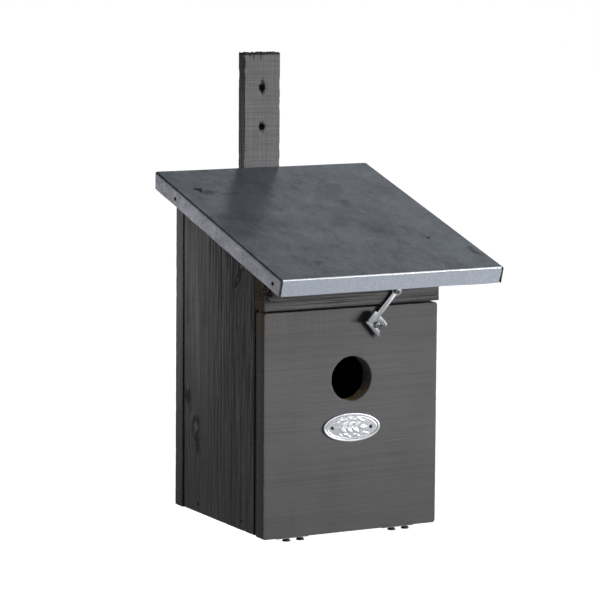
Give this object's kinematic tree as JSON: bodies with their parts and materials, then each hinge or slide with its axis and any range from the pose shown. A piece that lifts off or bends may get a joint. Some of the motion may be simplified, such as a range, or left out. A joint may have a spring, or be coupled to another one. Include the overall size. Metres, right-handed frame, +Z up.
{
  "type": "bird nest box",
  "caption": "Small upright wooden nest box with a round entrance, a fold-down front held by a hook, a sloping metal-capped roof and a batten to hang it by.",
  "frame": {"origin": "under the middle of the whole box, at the level of the hinge screw heads that it stands on", "axes": "+Z up, the door faces -Y, +X is to the right as seen from the front"},
  "size_m": [0.176, 0.2056, 0.3344],
  "materials": {
    "painted_wood": "matte dark grey paint over sawn softwood",
    "zinc_sheet": "satin galvanised sheet",
    "plated_steel": "zinc-plated pressed steel",
    "fastener_steel": "dull steel nails and screws",
    "silver_plate": "bright pressed plate"
  },
  "bodies": {
    "box": {"back_panel": "painted_wood", "left_side": "painted_wood", "right_side": "painted_wood", "floor_board": "painted_wood", "front_rail": "painted_wood", "roof_board": "painted_wood", "roof_sheet": "zinc_sheet", "hanging_batten": "painted_wood", "batten_screws": "fastener_steel", "side_nails": "fastener_steel", "back_nails": "fastener_steel", "roof_nails": "fastener_steel", "sheet_nails": "fastener_steel", "left_hinge_floor_leaf": "plated_steel", "right_hinge_floor_leaf": "plated_steel", "left_hinge_pin": "fastener_steel", "right_hinge_pin": "fastener_steel", "hinge_floor_screws": "fastener_steel", "latch_pivot_screw": "fastener_steel", "latch_washer": "plated_steel"},
    "door": {"front_door": "painted_wood", "left_hinge_door_leaf": "plated_steel", "right_hinge_door_leaf": "plated_steel", "hinge_door_screws": "fastener_steel", "latch_keeper_screw": "fastener_steel", "oval_plate": "silver_plate", "plate_pins": "fastener_steel"},
    "latch": {"latch_hook": "plated_steel"}
  },
  "joints": [
    {"name": "door_hinge", "type": "hinge", "parent": "box", "child": "door", "pos_m": [0, -0.03157, 0.0017], "axis": [1, 0, 0], "range_deg": [0, 110]},
    {"name": "latch_pivot", "type": "hinge", "parent": "box", "child": "latch", "pos_m": [0.0342, -0.04677, 0.1732], "axis": [0, 1, 0], "range_deg": [0, 75]}
  ]
}
